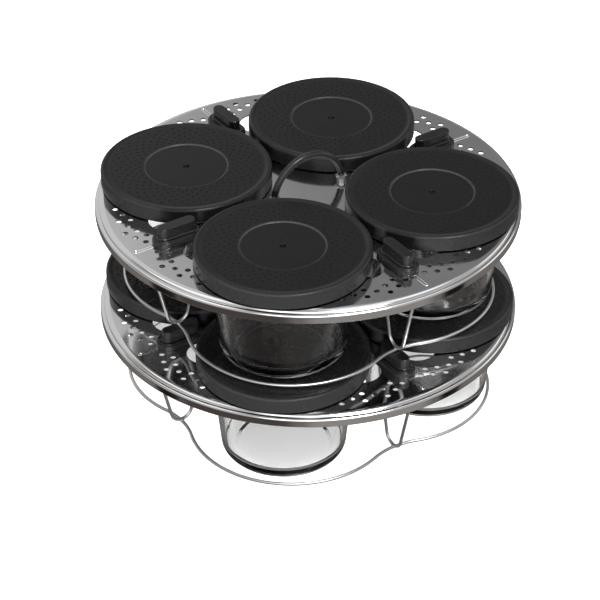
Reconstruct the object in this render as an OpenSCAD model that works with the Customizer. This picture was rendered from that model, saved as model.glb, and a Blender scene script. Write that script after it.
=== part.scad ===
// Two-tier round rack for lidded glass spice jars.
// Origin: centre of the surface the lower foot ring stands on. Z is up.
// The posts stand on the X and Y axes, the jars sit between them, and the loop handle lies along X.

/* [Tiers] */
// Overall diameter of each round tray
tray_d = 300; // [280:1:320]
// Sheet thickness of the trays
sheet_t = 1.0; // [0.8:0.1:1.5]
// Height of the turned-down edge below the flat top
rim_h = 8.6; // [7:0.1:12]
// Depth of the foot ring's underside below its tray's flat top
foot_depth = 72.5; // [72:0.1:78]
// Free height between a post and the ring that rests on it
seat_gap = 0.02; // [0:0.01:0.1]

/* [Wire foot] */
// Diameter of the foot ring and leg wire
wire_d = 2.4; // [2:0.1:3]
// Largest centreline radius of the foot ring, outside each jar
ring_out_r = 133.75; // [130:0.05:140]
// Smallest centreline radius of the foot ring, at each post
ring_dip_r = 108.9; // [105:0.1:112]
// Centreline bend radius of the foot ring at each post
ring_dip_bend = 53.2; // [45:0.1:60]
// Centreline bend radius at the bottom of each leg
leg_bend = 8.4; // [6:0.1:12]
// Lean of the inner half of each leg
leg_in_a = 11.9; // [8:0.1:14]
// Lean of the outer half of each leg
leg_out_a = 13.9; // [10:0.1:16]
// How far each leg sinks into the ring at the weld
weld_sink = 0.3; // [0.1:0.1:0.5]

/* [Posts] */
// Height of each stacking post
post_h = 12.4; // [12.3:0.1:14]
// Distance of a post's middle from the centre
post_r = 107.7; // [105:0.1:110]
// Length of the post's foot
post_foot_l = 36.5; // [34:0.1:38]
// Width of the post's foot
post_foot_w = 17.4; // [16:0.1:18]
// Height of the post's foot
post_foot_h = 3.6; // [3:0.1:5]
// Length of the post's raised bar
post_bar_l = 28.5; // [26:0.1:30]
// Width of the post's raised bar
post_bar_w = 8.4; // [8:0.1:10]

/* [Jars] */
// Distance of each jar's axis from the centre
jar_r = 87.8; // [86:0.1:90]
// Outer radius of a jar where it passes through the tray
jar_top_r = 50.6; // [48:0.1:51]
// Outer radius of a jar just above its rounded bottom
jar_low_r = 44.3; // [42:0.1:46]
// Depth of a jar's underside below the tray's flat top
jar_depth = 70.4; // [68:0.1:71]
// Outer corner radius at the bottom of a jar
jar_corner = 7.6; // [6:0.1:9]
// Thickness of a jar's side wall
jar_wall = 3.2; // [2.5:0.1:4]
// Thickness of a jar's floor
jar_floor = 6.0; // [4:0.5:8]
// Radius of the flange that carries a jar on the tray
jar_flange_r = 56.4; // [55:0.1:56.8]
// Height of a jar's mouth above the tray
jar_mouth_h = 7.0; // [6:0.1:7.4]

/* [Lids] */
// Outer radius of a lid
lid_r = 60.7; // [59:0.1:61.5]
// Height of a lid's top above the tray
lid_top = 11.9; // [11:0.1:12]
// Free height between a lid's skirt and the tray
lid_lift = 0.8; // [0.5:0.1:1.5]
// Radius of the sunken middle of a lid
lid_dish_r = 29.2; // [26:0.1:32]
// Height of a lid's raised rim above its flat ring
lid_rim = 0.4; // [0.2:0.1:0.6]
// Depth of the sunken middle below the flat ring
lid_dish = 0.8; // [0.4:0.1:0.9]
// Radius of the small well in the middle of a lid
lid_well_r = 2.3; // [1:0.1:3]
// Thickness of the silicone ring under a lid
seal_t = 1.6; // [1.2:0.1:2]

/* [Tray openings] */
// Radius of the hole that a jar hangs through
jar_hole_r = 51.4; // [50.9:0.1:53]
// Radius of the finger notches beside each jar
notch_r = 13.6; // [12:0.1:15]
// Distance of a finger notch from its jar's axis
notch_at = 55; // [53:0.5:56]
// Diameter of a vent hole
vent_d = 4.0; // [3:0.1:5]
// Angle from one vent column to the next
vent_pitch = 3.45; // [3:0.05:3.6]
// Width of the raised bead outside each post
bead_w = 3.5; // [2.5:0.1:5]
// Radius at which the raised beads end
bead_end = 142; // [138:0.5:142.5]

/* [Loop handle] */
// Bend radius of the handle's wire
loop_r = 28.4; // [26:0.1:30]
// Height of the bend's centre above the tray
loop_z = 1.0; // [0.5:0.1:3]
// Diameter of the handle's wire
loop_wire_d = 2.8; // [2.4:0.1:3]
// Outer diameter of the handle's sleeve
sleeve_d = 5.0; // [4:0.1:6]
// Angle above the tray at which the sleeve starts
sleeve_a = 10.4; // [10:0.1:14]

/* [Hidden] */
$fn = 96;
wire_r = wire_d / 2;
tray_r = tray_d / 2;
tier_pitch = foot_depth + post_h + seat_gap;
// weld beads cover the joints between the bends of a wire, and the bends stop just short of them
bead_r = wire_r + 0.08;
gap_a = 0.06;
// the lower tier stands on the beads of its ring
lower_z = foot_depth + bead_r - wire_r;
upper_z = lower_z + tier_pitch;
// tangent arcs of the foot ring: bulge arc (centre on a jar axis) and dip arc (centre on a post axis)
c45 = cos(45);
dip_c = ring_dip_r + ring_dip_bend;
bulge_up = ring_out_r * ring_out_r + dip_c * dip_c - 2 * ring_out_r * dip_c * c45
    - ring_dip_bend * ring_dip_bend;
bulge_bend = bulge_up / (2 * ring_out_r + 2 * ring_dip_bend - 2 * dip_c * c45);
bulge_c = ring_out_r - bulge_bend;
bulge_a = atan2(dip_c * c45, dip_c * c45 - bulge_c);
dip_a = bulge_a - 45;
// leg wire: height of its lowest centreline point, and of the tray's underside above it
leg_z0 = wire_d - weld_sink;
leg_top = foot_depth - wire_r - sheet_t - leg_z0;
plate_z = jar_mouth_h + seal_t;
black = [0.10, 0.10, 0.11];
steel = [0.72, 0.72, 0.73];
bright = [0.86, 0.86, 0.87];
clear_glass = [0.82, 0.88, 0.88, 0.35];
silicone = [0.90, 0.90, 0.88];

// ---- placing helpers: every part below is drawn with its tray's flat top at z = 0 ----

module on_lower() {
    translate([0, 0, lower_z]) children();
}

module on_upper() {
    translate([0, 0, upper_z]) children();
}

module at_jar(a) {
    rotate([0, 0, a]) translate([jar_r, 0, 0]) children();
}

module slot_shape(l, w) {
    square([l - w, w], center = true);
    translate([(l - w) / 2, 0]) circle(d = w);
    translate([-(l - w) / 2, 0]) circle(d = w);
}

// ---- tray ----

function turned_edge() = [
    [tray_r - 7.0, 0], [tray_r - 5.3, -0.13], [tray_r - 3.9, -0.52], [tray_r - 2.9, -1.15],
    [tray_r - 2.5, -1.9], [tray_r - 2.0, -2.0], [tray_r - 1.0, -2.4], [tray_r - 0.3, -3.1],
    [tray_r, -4.0], [tray_r, -rim_h]
];

module tray_blank() {
    rotate_extrude()
        polygon(concat(
            [[0, -sheet_t], [0, 0]],
            turned_edge(),
            [
                [tray_r - sheet_t, -rim_h], [tray_r - sheet_t, -4.2], [tray_r - 1.6, -3.4],
                [tray_r - 2.6, -3.0], [tray_r - 3.4, -2.8], [tray_r - 4.0, -1.9],
                [tray_r - 5.4, -1.2], [tray_r - 7.0, -sheet_t]
            ]
        ));
}

module vent_column(r, steps) {
    for (k = steps)
        for (s = [-1, 1])
            rotate([0, 0, s * k * vent_pitch])
                translate([r, 0, -2])
                    cylinder(d = vent_d, h = 4);
}

module vents() {
    vent_column(136.2, [3, 5, 7]);
    vent_column(132.0, [2, 4, 6]);
    vent_column(127.9, [1, 3, 5]);
    vent_column(123.8, [2]);
}

module tray() {
    color(steel)
    difference() {
        union() {
            tray_blank();
            for (a = [0 : 90 : 270])
                rotate([0, 0, a])
                    translate([0, 0, -0.5])
                        linear_extrude(1.0)
                            difference() {
                                translate([126.4 + (bead_end - 126.4) / 2 - 3, 0])
                                    slot_shape(bead_end - 126.4 + 6, bead_w);
                                translate([116.4, -5])
                                    square([10, 10]);
                            }
        }
        for (a = [45 : 90 : 315])
            at_jar(a) {
                translate([0, 0, -2])
                    cylinder(r = jar_hole_r, h = 4);
                for (s = [-1, 1])
                    translate([0, s * notch_at, -2])
                        cylinder(r = notch_r, h = 4);
            }
        for (a = [0 : 90 : 270])
            rotate([0, 0, a]) {
                vents();
                for (u = [-6.8, 6.8])
                    translate([post_r + u, 0, -2])
                        cylinder(r = 1.6, h = 4);
            }
        for (s = [-1, 1])
            translate([s * loop_r, 0, -2])
                cylinder(r = 1.6, h = 4);
    }
}

// ---- foot ring and legs, drawn from the ring's centreline plane ----

module wire_arc(r, a0, a1) {
    rotate([0, 0, a0])
        rotate_extrude(angle = a1 - a0)
            translate([r, 0])
                circle(d = wire_d);
}

module foot_ring() {
    color(bright)
    translate([0, 0, wire_r - foot_depth])
        union() {
            for (a = [45 : 90 : 315])
                rotate([0, 0, a])
                    translate([bulge_c, 0, 0]) {
                        wire_arc(bulge_bend, gap_a - bulge_a, bulge_a - gap_a);
                        for (s = [-1, 1])
                            rotate([0, 0, s * bulge_a])
                                translate([bulge_bend, 0, 0])
                                    sphere(r = bead_r);
                    }
            for (a = [0 : 90 : 270])
                rotate([0, 0, a])
                    translate([dip_c, 0, 0])
                        wire_arc(ring_dip_bend, 180 - dip_a + gap_a, 180 + dip_a - gap_a);
        }
}

// one straight side of a leg, from the end of the bottom bend up to the tray
module leg_side(lean) {
    translate([leg_bend * cos(lean), 0, -leg_bend * sin(lean)])
        sphere(r = bead_r);
    intersection() {
        translate([leg_bend * cos(lean), 0, -leg_bend * sin(lean)])
            rotate([0, lean, 0])
                translate([0, 0, 0.06])
                    cylinder(d = wire_d, h = 2 * leg_top);
        translate([-100, -10, -50])
            cube([200, 20, 50 + leg_top - leg_bend]);
    }
}

module leg(a) {
    color(bright)
    rotate([0, 0, a])
        translate([ring_dip_r, 0, wire_r - foot_depth + leg_z0 + leg_bend])
            union() {
                rotate([90, 0, 0])
                    wire_arc(leg_bend, leg_in_a - 179.5, -leg_out_a - 0.5);
                leg_side(leg_out_a);
                mirror([1, 0, 0])
                    leg_side(leg_in_a);
            }
}

// ---- stacking posts and their screws ----

module post(a) {
    color(black)
    rotate([0, 0, a])
        translate([post_r, 0, 0])
            difference() {
                union() {
                    linear_extrude(post_foot_h)
                        slot_shape(post_foot_l, post_foot_w);
                    translate([0, 0, post_foot_h])
                        linear_extrude(1.0)
                            slot_shape(post_foot_l - 2.4, post_foot_w - 2.4);
                    translate([0, 0, post_foot_h + 1.0])
                        linear_extrude(post_h - post_foot_h - 1.0)
                            slot_shape(post_bar_l, post_bar_w);
                }
                for (u = [-6.8, 6.8])
                    translate([u, 0, -1])
                        cylinder(r = 1.55, h = 9);
            }
}

module post_screws() {
    color(steel)
    for (a = [0 : 90 : 270])
        rotate([0, 0, a])
            for (u = [-6.8, 6.8])
                translate([post_r + u, 0, 0])
                    difference() {
                        union() {
                            translate([0, 0, -sheet_t])
                                cylinder(r = 1.5, h = 8);
                            translate([0, 0, -sheet_t - 1.9])
                                cylinder(r = 2.8, h = 1.9);
                        }
                        translate([0, 0, -sheet_t - 2.9])
                            cylinder(r = 1.2, h = 2.2, $fn = 6);
                    }
}

// ---- jars, lids and seals ----

function arc_points(cx, cz, r, a0, a1, n) = [
    for (i = [0 : n]) [cx + r * cos(a0 + (a1 - a0) * i / n), cz + r * sin(a0 + (a1 - a0) * i / n)]
];

module jar(a) {
    in_low_r = jar_low_r - jar_wall;
    in_floor = -jar_depth + jar_floor;
    color(clear_glass)
    at_jar(a)
        rotate_extrude()
            polygon(concat(
                [[0, -jar_depth]],
                arc_points(jar_low_r - jar_corner, -jar_depth + jar_corner, jar_corner, -90, 0, 8),
                [
                    [jar_top_r, 0], [jar_flange_r, 0], [jar_flange_r, 2.2], [jar_flange_r - 0.6, 2.8],
                    [52.2, 3.4], [51.6, jar_mouth_h - 0.5], [51.1, jar_mouth_h],
                    [47.8, jar_mouth_h], [47.4, jar_mouth_h - 0.5], [jar_top_r - jar_wall, 0]
                ],
                arc_points(in_low_r - 5 + 0.3, in_floor + 5, 5, 0, -90, 8),
                [[0, in_floor]]
            ));
}

module lid(a) {
    ring_z = lid_top - lid_rim;
    dish_z = ring_z - lid_dish;
    color(black)
    at_jar(a)
        rotate_extrude()
            polygon([
                [0, plate_z], [44.4, plate_z], [44.4, 5.4], [46.6, 5.4], [46.6, plate_z],
                [57.4, plate_z], [57.4, lid_lift], [lid_r - 0.5, lid_lift], [lid_r, lid_lift + 0.5],
                [lid_r, lid_top - 2.1], [lid_r - 0.16, lid_top - 1.3], [lid_r - 0.62, lid_top - 0.62],
                [lid_r - 1.3, lid_top - 0.16], [lid_r - 2.1, lid_top], [lid_r - 2.4, lid_top],
                [lid_r - 5.1, ring_z], [lid_dish_r + 0.5, ring_z], [lid_dish_r - 0.3, dish_z],
                [lid_well_r, dish_z], [lid_well_r, dish_z - 1.3], [0.7, dish_z - 1.3],
                [0.7, dish_z - 0.5], [0, dish_z - 0.5]
            ]);
}

module seal(a) {
    color(silicone)
    at_jar(a)
        translate([0, 0, jar_mouth_h])
            difference() {
                cylinder(r = 54.5, h = seal_t);
                translate([0, 0, -1])
                    cylinder(r = 47.0, h = seal_t + 2);
            }
}

// ---- loop handle ----

module loop_bend(a0, a1) {
    translate([0, 0, loop_z])
        rotate([90, 0, 0])
            rotate([0, 0, a0])
                rotate_extrude(angle = a1 - a0)
                    translate([loop_r, 0])
                        children();
}

module handle_wire() {
    color(steel)
    union() {
        loop_bend(0, 180)
            circle(d = loop_wire_d);
        for (s = [-1, 1])
            translate([s * loop_r, 0, -5])
                cylinder(d = loop_wire_d, h = 5 + loop_z);
    }
}

module handle_sleeve() {
    color(black)
    loop_bend(sleeve_a, 180 - sleeve_a)
        difference() {
            circle(d = sleeve_d);
            circle(d = loop_wire_d + 0.1);
        }
}

module star_shape() {
    polygon([
        for (i = [0 : 15])
            (i % 2 == 0 ? 4.6 : 3.3) * [cos(22.5 * i), sin(22.5 * i)]
    ]);
}

module handle_collars() {
    color(bright)
    for (s = [-1, 1])
        translate([s * (loop_r - 0.2), 0, 0])
            difference() {
                union() {
                    cylinder(r = 3.2, h = 3.6, $fn = 6);
                    translate([0, 0, 3.6])
                        linear_extrude(1.6)
                            star_shape();
                }
                translate([0, 0, -1])
                    cylinder(r = 1.75, h = 8);
            }
}

module handle_nuts() {
    color(steel)
    for (s = [-1, 1])
        translate([s * loop_r, 0, -sheet_t - 2.4])
            difference() {
                cylinder(r = 3.2, h = 2.4, $fn = 6);
                translate([0, 0, -1])
                    cylinder(r = 1.45, h = 5);
            }
}

// ---- nodes ----

on_lower() tray();  // lower_tray
on_lower() foot_ring();  // lower_foot_ring
on_lower() leg(0);  // lower_leg_right
on_lower() leg(90);  // lower_leg_back
on_lower() leg(180);  // lower_leg_left
on_lower() leg(270);  // lower_leg_front
on_lower() post(0);  // lower_post_right
on_lower() post(90);  // lower_post_back
on_lower() post(180);  // lower_post_left
on_lower() post(270);  // lower_post_front
on_lower() post_screws();  // lower_post_screws
on_lower() handle_wire();  // lower_handle_wire
on_lower() handle_sleeve();  // lower_handle_sleeve
on_lower() handle_collars();  // lower_handle_collars
on_lower() handle_nuts();  // lower_handle_nuts
on_lower() jar(45);  // lower_jar_back_right
on_lower() jar(135);  // lower_jar_back_left
on_lower() jar(225);  // lower_jar_front_left
on_lower() jar(315);  // lower_jar_front_right
on_lower() lid(45);  // lower_lid_back_right
on_lower() lid(135);  // lower_lid_back_left
on_lower() lid(225);  // lower_lid_front_left
on_lower() lid(315);  // lower_lid_front_right
on_lower() seal(45);  // lower_seal_back_right
on_lower() seal(135);  // lower_seal_back_left
on_lower() seal(225);  // lower_seal_front_left
on_lower() seal(315);  // lower_seal_front_right
on_upper() tray();  // upper_tray
on_upper() foot_ring();  // upper_foot_ring
on_upper() leg(0);  // upper_leg_right
on_upper() leg(90);  // upper_leg_back
on_upper() leg(180);  // upper_leg_left
on_upper() leg(270);  // upper_leg_front
on_upper() post(0);  // upper_post_right
on_upper() post(90);  // upper_post_back
on_upper() post(180);  // upper_post_left
on_upper() post(270);  // upper_post_front
on_upper() post_screws();  // upper_post_screws
on_upper() handle_wire();  // upper_handle_wire
on_upper() handle_sleeve();  // upper_handle_sleeve
on_upper() handle_collars();  // upper_handle_collars
on_upper() handle_nuts();  // upper_handle_nuts
on_upper() jar(45);  // upper_jar_back_right
on_upper() jar(135);  // upper_jar_back_left
on_upper() jar(225);  // upper_jar_front_left
on_upper() jar(315);  // upper_jar_front_right
on_upper() lid(45);  // upper_lid_back_right
on_upper() lid(135);  // upper_lid_back_left
on_upper() lid(225);  // upper_lid_front_left
on_upper() lid(315);  // upper_lid_front_right
on_upper() seal(45);  // upper_seal_back_right
on_upper() seal(135);  // upper_seal_back_left
on_upper() seal(225);  // upper_seal_front_left
on_upper() seal(315);  // upper_seal_front_right
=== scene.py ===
"""Two-tier round rack for lidded glass spice jars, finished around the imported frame.

Lengths are millimetres unless a comment says otherwise, and are turned into Blender's metres with MM.
Each tier is drawn with its tray's flat top at z = 0 and is then lifted to the frame's tray.
"""
import math

import bmesh
import bpy
from mathutils import Matrix, Vector
from mathutils.geometry import delaunay_2d_cdt


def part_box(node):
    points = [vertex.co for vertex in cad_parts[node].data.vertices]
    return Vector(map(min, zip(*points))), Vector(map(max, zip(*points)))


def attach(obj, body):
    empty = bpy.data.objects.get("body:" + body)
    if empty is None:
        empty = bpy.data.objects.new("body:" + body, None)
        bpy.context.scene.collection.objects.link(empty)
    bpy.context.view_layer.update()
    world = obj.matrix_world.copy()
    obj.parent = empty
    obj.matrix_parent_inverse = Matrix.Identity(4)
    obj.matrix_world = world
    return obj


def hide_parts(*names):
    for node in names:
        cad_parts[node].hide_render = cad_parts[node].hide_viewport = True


MM = 0.001
LEVEL = 0.99999
TIERS = ("lower", "upper")
SIDES = {"right": 0, "back": 90, "left": 180, "front": 270}
CORNERS = {"back_right": 45, "back_left": 135, "front_left": 225, "front_right": 315}

# tray
TRAY_R = 150.0
SHEET = 1.0
RIM_H = 8.6
FLAT_R = 143.0
EDGE_STEPS = 288
HOLE_BEVEL = 0.14
JAR_R = 87.8
JAR_HOLE_R = 51.4
NOTCH_R = 13.6
NOTCH_AT = 55.0
FIXING_HOLE_R = 1.6
VENT_R = 2.0
VENT_PITCH = 3.45
VENT_ROWS = ((136.2, (3, 5, 7)), (132.0, (2, 4, 6)), (127.9, (1, 3, 5)), (123.8, (2,)))
BEAD_START = 126.4
BEAD_END = 142.0
BEAD_HALF = 1.75
BEAD_H = 0.24
BEAD_SINK = 0.01

# wire foot
WIRE_R = 1.2
FOOT_DEPTH = 72.5
RING_OUT_R = 133.75
RING_DIP_R = 108.9
RING_DIP_BEND = 53.2
LEG_BEND = 8.4
LEG_IN_LEAN = 11.9
LEG_OUT_LEAN = 13.9
WELD_SINK = 0.3

# posts
POST_R = 107.7
POST_H = 12.4
SCREW_AT = 6.8

# jars and lids
JAR_TOP_R = 50.6
JAR_LOW_R = 44.3
JAR_DEPTH = 70.4
JAR_WALL = 3.2
JAR_FLOOR = 6.0
FLANGE_R = 56.2
MOUTH_R = 51.6
MOUTH_H = 7.0
SEAL_T = 1.6
SEAL_IN_R = 47.0
SEAL_OUT_R = 54.5
LID_R = 60.7
LID_TOP = 11.9
LID_RIM_H = 0.4
DISH_R = 29.2
DISH_DEEP = 0.8
WELL_R = 2.3
DIMPLE_R = 1.0
DIMPLE_DEEP = 0.3
DIMPLE_RINGS = 7
DIMPLE_FIRST_R = 33.0
DIMPLE_PITCH = 3.2
DIMPLES_PER_RING = 36

# loop handle
LOOP_R = 28.4
LOOP_Z = 1.0
LOOP_WIRE_R = 1.4
SLEEVE_R = 2.5
SLEEVE_FROM = 10.4

# floor
FLOOR_R = 60000.0

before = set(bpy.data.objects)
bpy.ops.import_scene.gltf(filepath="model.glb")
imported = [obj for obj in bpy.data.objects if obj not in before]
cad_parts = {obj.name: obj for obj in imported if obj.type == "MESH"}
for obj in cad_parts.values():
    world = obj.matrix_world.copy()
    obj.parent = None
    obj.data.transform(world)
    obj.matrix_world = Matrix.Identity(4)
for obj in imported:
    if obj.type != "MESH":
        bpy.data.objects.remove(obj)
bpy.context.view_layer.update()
lift = {tier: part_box(f"{tier}_tray")[0].z / MM + RIM_H for tier in TIERS}


# ---- outlines and meshes ----

def turn(point, degrees):
    """A point turned about the Z axis."""
    c, s = math.cos(math.radians(degrees)), math.sin(math.radians(degrees))
    return (c * point[0] - s * point[1], s * point[0] + c * point[1], *point[2:])


def arc(cx, cy, rx, ry, start, end, steps):
    """Points on an ellipse about (cx, cy), angles in degrees."""
    out = []
    for i in range(steps + 1):
        a = math.radians(start + (end - start) * i / steps)
        out.append((cx + rx * math.cos(a), cy + ry * math.sin(a)))
    return out


def circle(x, y, r, steps):
    """Points all round a circle, none of them twice."""
    return arc(x, y, r, r, 0, 360 - 360 / steps, steps - 1)


def rounded(corners, steps=4, closed=False):
    """An outline with rounded corners. A corner is (x, y) or (x, y, radius)."""
    out = []
    for i, corner in enumerate(corners):
        here = Vector(corner[:2])
        ends = not closed and i in (0, len(corners) - 1)
        if ends or len(corner) < 3:
            out.append(tuple(here))
            continue
        before = (Vector(corners[i - 1][:2]) - here).normalized()
        after = (Vector(corners[(i + 1) % len(corners)][:2]) - here).normalized()
        half = before.angle(after) / 2
        centre = here + (before + after).normalized() * corner[2] / math.sin(half)
        reach = corner[2] / math.tan(half)
        first = here + before * reach - centre
        last = here + after * reach - centre
        sweep = math.atan2(first.x * last.y - first.y * last.x, first.dot(last))
        for k in range(steps + 1):
            spin = Matrix.Rotation(sweep * k / steps, 2)
            out.append(tuple(centre + spin @ first))
    return out


def skin(rings, closed=False):
    """Faces between rings of points. A ring of one point closes the skin to a tip."""
    verts, faces, starts = [], [], []
    for ring in rings:
        starts.append(len(verts))
        verts += ring
    pairs = [(i, i + 1) for i in range(len(rings) - 1)]
    if closed:
        pairs.append((len(rings) - 1, 0))
    for i, j in pairs:
        a, b = len(rings[i]), len(rings[j])
        for k in range(max(a, b)):
            corners = (
                starts[i] + k % a,
                starts[i] + (k + 1) % a,
                starts[j] + (k + 1) % b,
                starts[j] + k % b,
            )
            faces.append(tuple(dict.fromkeys(corners)))
    return verts, faces


def lathe(profile, steps, closed=False):
    """A profile of (radius, height) points turned about the Z axis."""
    rings = []
    for r, z in profile:
        if r < 1e-6:
            rings.append([(0.0, 0.0, z)])
            continue
        angles = [2 * math.pi * k / steps for k in range(steps)]
        rings.append([(r * math.cos(a), r * math.sin(a), z) for a in angles])
    return skin(rings, closed)


def tube(path, radii, normal, sides=20, closed=False):
    """A round wire along a flat path with that plane normal. radii has one radius a point."""
    normal = Vector(normal)
    points = [Vector(p) for p in path]
    count = len(points)
    rings = []
    for i, p in enumerate(points):
        ahead = points[(i + 1) % count] if closed or i < count - 1 else p
        behind = points[i - 1] if closed or i > 0 else p
        side = normal.cross(ahead - behind).normalized()
        angles = [2 * math.pi * k / sides for k in range(sides)]
        spokes = [math.cos(a) * side + math.sin(a) * normal for a in angles]
        rings.append([tuple(p + radii[i] * spoke) for spoke in spokes])
    if not closed:
        rings = [[tuple(points[0])], *rings, [tuple(points[-1])]]
    return skin(rings, closed)


def stadium(half_length, r, steps, ribs=0, rib_depth=0.0):
    """A slot-shaped loop: two half circles of radius r, half_length either side of the middle."""
    loop = []
    for end in (0, 180):
        for k in range(steps + 1):
            t = k / steps
            dip = rib_depth * (0.5 - 0.5 * math.cos(2 * math.pi * ribs * t))
            x, y = (half_length * (1 if end == 0 else -1), 0.0)
            a = math.radians(end - 90 + 180 * t)
            loop.append((x + (r - dip) * math.cos(a), y + (r - dip) * math.sin(a)))
    return loop


def at_height(loop, z):
    """A flat loop, lifted to height z."""
    return [(x, y, z) for x, y in loop]


def placed(shape, matrix):
    """A (vertices, faces) shape moved by a matrix."""
    verts, faces = shape
    return [tuple(matrix @ Vector(v)) for v in verts], faces


def joined(shapes):
    """Several (vertices, faces) shapes as one."""
    verts, faces = [], []
    for shape_verts, shape_faces in shapes:
        base = len(verts)
        verts += shape_verts
        faces += [tuple(base + i for i in face) for face in shape_faces]
    return verts, faces


def make_mesh(name, shape, material, sharp=35, weld=0.0):
    """A smooth-shaded mesh of a shape. Bends over sharp degrees stay crisp, and weld joins points."""
    verts, faces = shape
    mesh = bpy.data.meshes.new(name)
    mesh.from_pydata([tuple(c * MM for c in v) for v in verts], [], faces)
    bm = bmesh.new()
    bm.from_mesh(mesh)
    if weld:
        bmesh.ops.remove_doubles(bm, verts=bm.verts, dist=weld * MM)
    bmesh.ops.recalc_face_normals(bm, faces=bm.faces)
    for face in bm.faces:
        face.smooth = True
    for edge in bm.edges:
        levels = {abs(face.normal.z) > LEVEL for face in edge.link_faces}
        edge.smooth = len(levels) == 1 and edge.calc_face_angle(0) < math.radians(sharp)
    normals = corner_normals(bm, sharp)
    bm.to_mesh(mesh)
    bm.free()
    mesh.normals_split_custom_set(normals)
    mesh.materials.append(material)
    return mesh


def corner_normals(bm, sharp):
    """A normal for each face corner. Level faces stay level, and bends that meet them start level."""
    limit = math.cos(math.radians(sharp))
    weighted = []
    for face in bm.faces:
        level = abs(face.normal.z) > LEVEL
        weighted.append(face.normal * face.calc_area() * (1e6 if level else 1))
    normals = []
    for face in bm.faces:
        for vert in face.verts:
            total = face.normal * 1e-12
            for near in vert.link_faces:
                if face.normal.dot(near.normal) > limit:
                    total += weighted[near.index]
            normals.append(total.normalized())
    return normals


def make_piece(name, mesh, body, nodes, place=Matrix.Identity(4)):
    """A piece that shows the mesh, rides on the body and stands for the CAD nodes."""
    obj = bpy.data.objects.new(name, mesh)
    bpy.context.scene.collection.objects.link(obj)
    obj.matrix_world = place
    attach(obj, body)
    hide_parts(*nodes)
    return obj


def at(x=0.0, y=0.0, z=0.0, spin=0.0):
    """A place in millimetres, turned about Z by spin degrees."""
    return Matrix.Translation(Vector((x, y, z)) * MM) @ Matrix.Rotation(math.radians(spin), 4, "Z")


# ---- materials ----

class Nodes:
    """Short ways to build a material's node tree."""

    def __init__(self, name, **settings):
        self.material = bpy.data.materials.new(name)
        self.material.use_nodes = True
        self.tree = self.material.node_tree
        self.shader = self.tree.nodes["Principled BSDF"]
        for socket, value in settings.items():
            self.shader.inputs[socket.replace("_", " ")].default_value = value
        self.coords = self.tree.nodes.new("ShaderNodeTexCoord").outputs["Object"]

    def link(self, output, node, socket):
        """Joins an output to a node's input."""
        self.tree.links.new(output, node.inputs[socket])

    def noise(self, size, detail=3.0, stretch=(1, 1, 1), rough=0.5):
        """Noise with features of about size millimetres, stretched along the axes."""
        mapping = self.tree.nodes.new("ShaderNodeMapping")
        mapping.inputs["Scale"].default_value = [1 / (size * MM * s) for s in stretch]
        self.link(self.coords, mapping, "Vector")
        node = self.tree.nodes.new("ShaderNodeTexNoise")
        node.inputs["Scale"].default_value = 1.0
        node.inputs["Detail"].default_value = detail
        node.inputs["Roughness"].default_value = rough
        self.link(mapping.outputs["Vector"], node, "Vector")
        return node.outputs["Fac"]

    def span(self, value, low, high, start=0.3, end=0.7):
        """value, spread over low to high as it goes from start to end."""
        node = self.tree.nodes.new("ShaderNodeMapRange")
        node.inputs["From Min"].default_value = start
        node.inputs["From Max"].default_value = end
        node.inputs["To Min"].default_value = low
        node.inputs["To Max"].default_value = high
        self.link(value, node, "Value")
        return node.outputs["Result"]

    def blend(self, factor, first, second):
        """A colour between first and second."""
        node = self.tree.nodes.new("ShaderNodeMix")
        node.data_type = "RGBA"
        node.inputs["A"].default_value = (*first, 1)
        node.inputs["B"].default_value = (*second, 1)
        self.link(factor, node, "Factor")
        return node.outputs["Result"]

    def maths(self, operation, first, second):
        """Two values, put through one operation."""
        node = self.tree.nodes.new("ShaderNodeMath")
        node.operation = operation
        self.link(first, node, 0)
        self.link(second, node, 1)
        return node.outputs["Value"]

    def product(self, first, second):
        return self.maths("MULTIPLY", first, second)

    def total(self, first, second):
        return self.maths("ADD", first, second)

    def band(self, value, start, end, soft=0.06):
        """1 where value, a length in metres, is between start and end millimetres, and 0 outside."""
        rise = self.span(value, 0, 1, (start - soft) * MM, (start + soft) * MM)
        return self.product(rise, self.span(value, 1, 0, (end - soft) * MM, (end + soft) * MM))

    def height_and_radius(self):
        """Height over the piece's origin, and distance from its axis."""
        split = self.tree.nodes.new("ShaderNodeSeparateXYZ")
        self.link(self.coords, split, 0)
        x, y, z = split.outputs
        squares = self.total(self.product(x, x), self.product(y, y))
        root = self.tree.nodes.new("ShaderNodeMath")
        root.operation = "SQRT"
        self.link(squares, root, 0)
        return z, root.outputs["Value"]

    def colour(self, factor, first, second):
        """Base colour, between first and second."""
        self.link(self.blend(factor, first, second), self.shader, "Base Color")

    def roughness(self, value):
        self.link(value, self.shader, "Roughness")

    def bump(self, height, depth):
        """Raises the surface by depth millimetres where height is 1."""
        node = self.tree.nodes.new("ShaderNodeBump")
        node.inputs["Distance"].default_value = depth * MM
        node.inputs["Strength"].default_value = 1.0
        self.link(height, node, "Height")
        if self.shader.inputs["Normal"].links:
            self.link(self.shader.inputs["Normal"].links[0].from_socket, node, "Normal")
        self.link(node.outputs["Normal"], self.shader, "Normal")


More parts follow.
